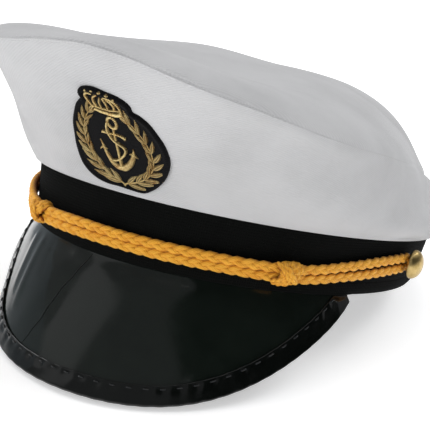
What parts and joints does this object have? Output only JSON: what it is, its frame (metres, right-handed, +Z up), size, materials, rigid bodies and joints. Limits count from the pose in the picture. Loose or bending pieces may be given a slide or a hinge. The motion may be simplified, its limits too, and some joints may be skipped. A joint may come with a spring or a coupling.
{
  "type": "peaked sailor cap",
  "caption": "Soft white sailor cap with a puffed crown, black band, glossy black peak, knotted gold cord between domed buttons and an embroidered anchor badge.",
  "frame": {"origin": "bottom centre of the box around the cap as it rests on its peak's edge and the band's rear", "axes": "+Z up from the surface, -Y towards the front of the cap, +X towards the wearer's left"},
  "size_m": [0.1942, 0.2572, 0.1323],
  "materials": {
    "white_cloth": "matte",
    "black_cloth": "matte",
    "glossy_vinyl": "gloss",
    "gold_cord": "satin",
    "brass": "polished",
    "badge_felt": "matte",
    "gold_thread": "satin"
  },
  "bodies": {
    "root": {"band": "black_cloth", "crown_side": "white_cloth", "crown_top": "white_cloth", "peak": "glossy_vinyl", "peak_binding": "glossy_vinyl", "cord_upper": "gold_cord", "cord_lower": "gold_cord", "knot_left": "gold_cord", "knot_right": "gold_cord", "button_left": "brass", "button_right": "brass", "badge_backing": "badge_felt", "badge_wreath_left": "gold_thread", "badge_wreath_right": "gold_thread", "badge_anchor": "gold_thread", "badge_crown": "gold_thread"}
  },
  "joints": []
}
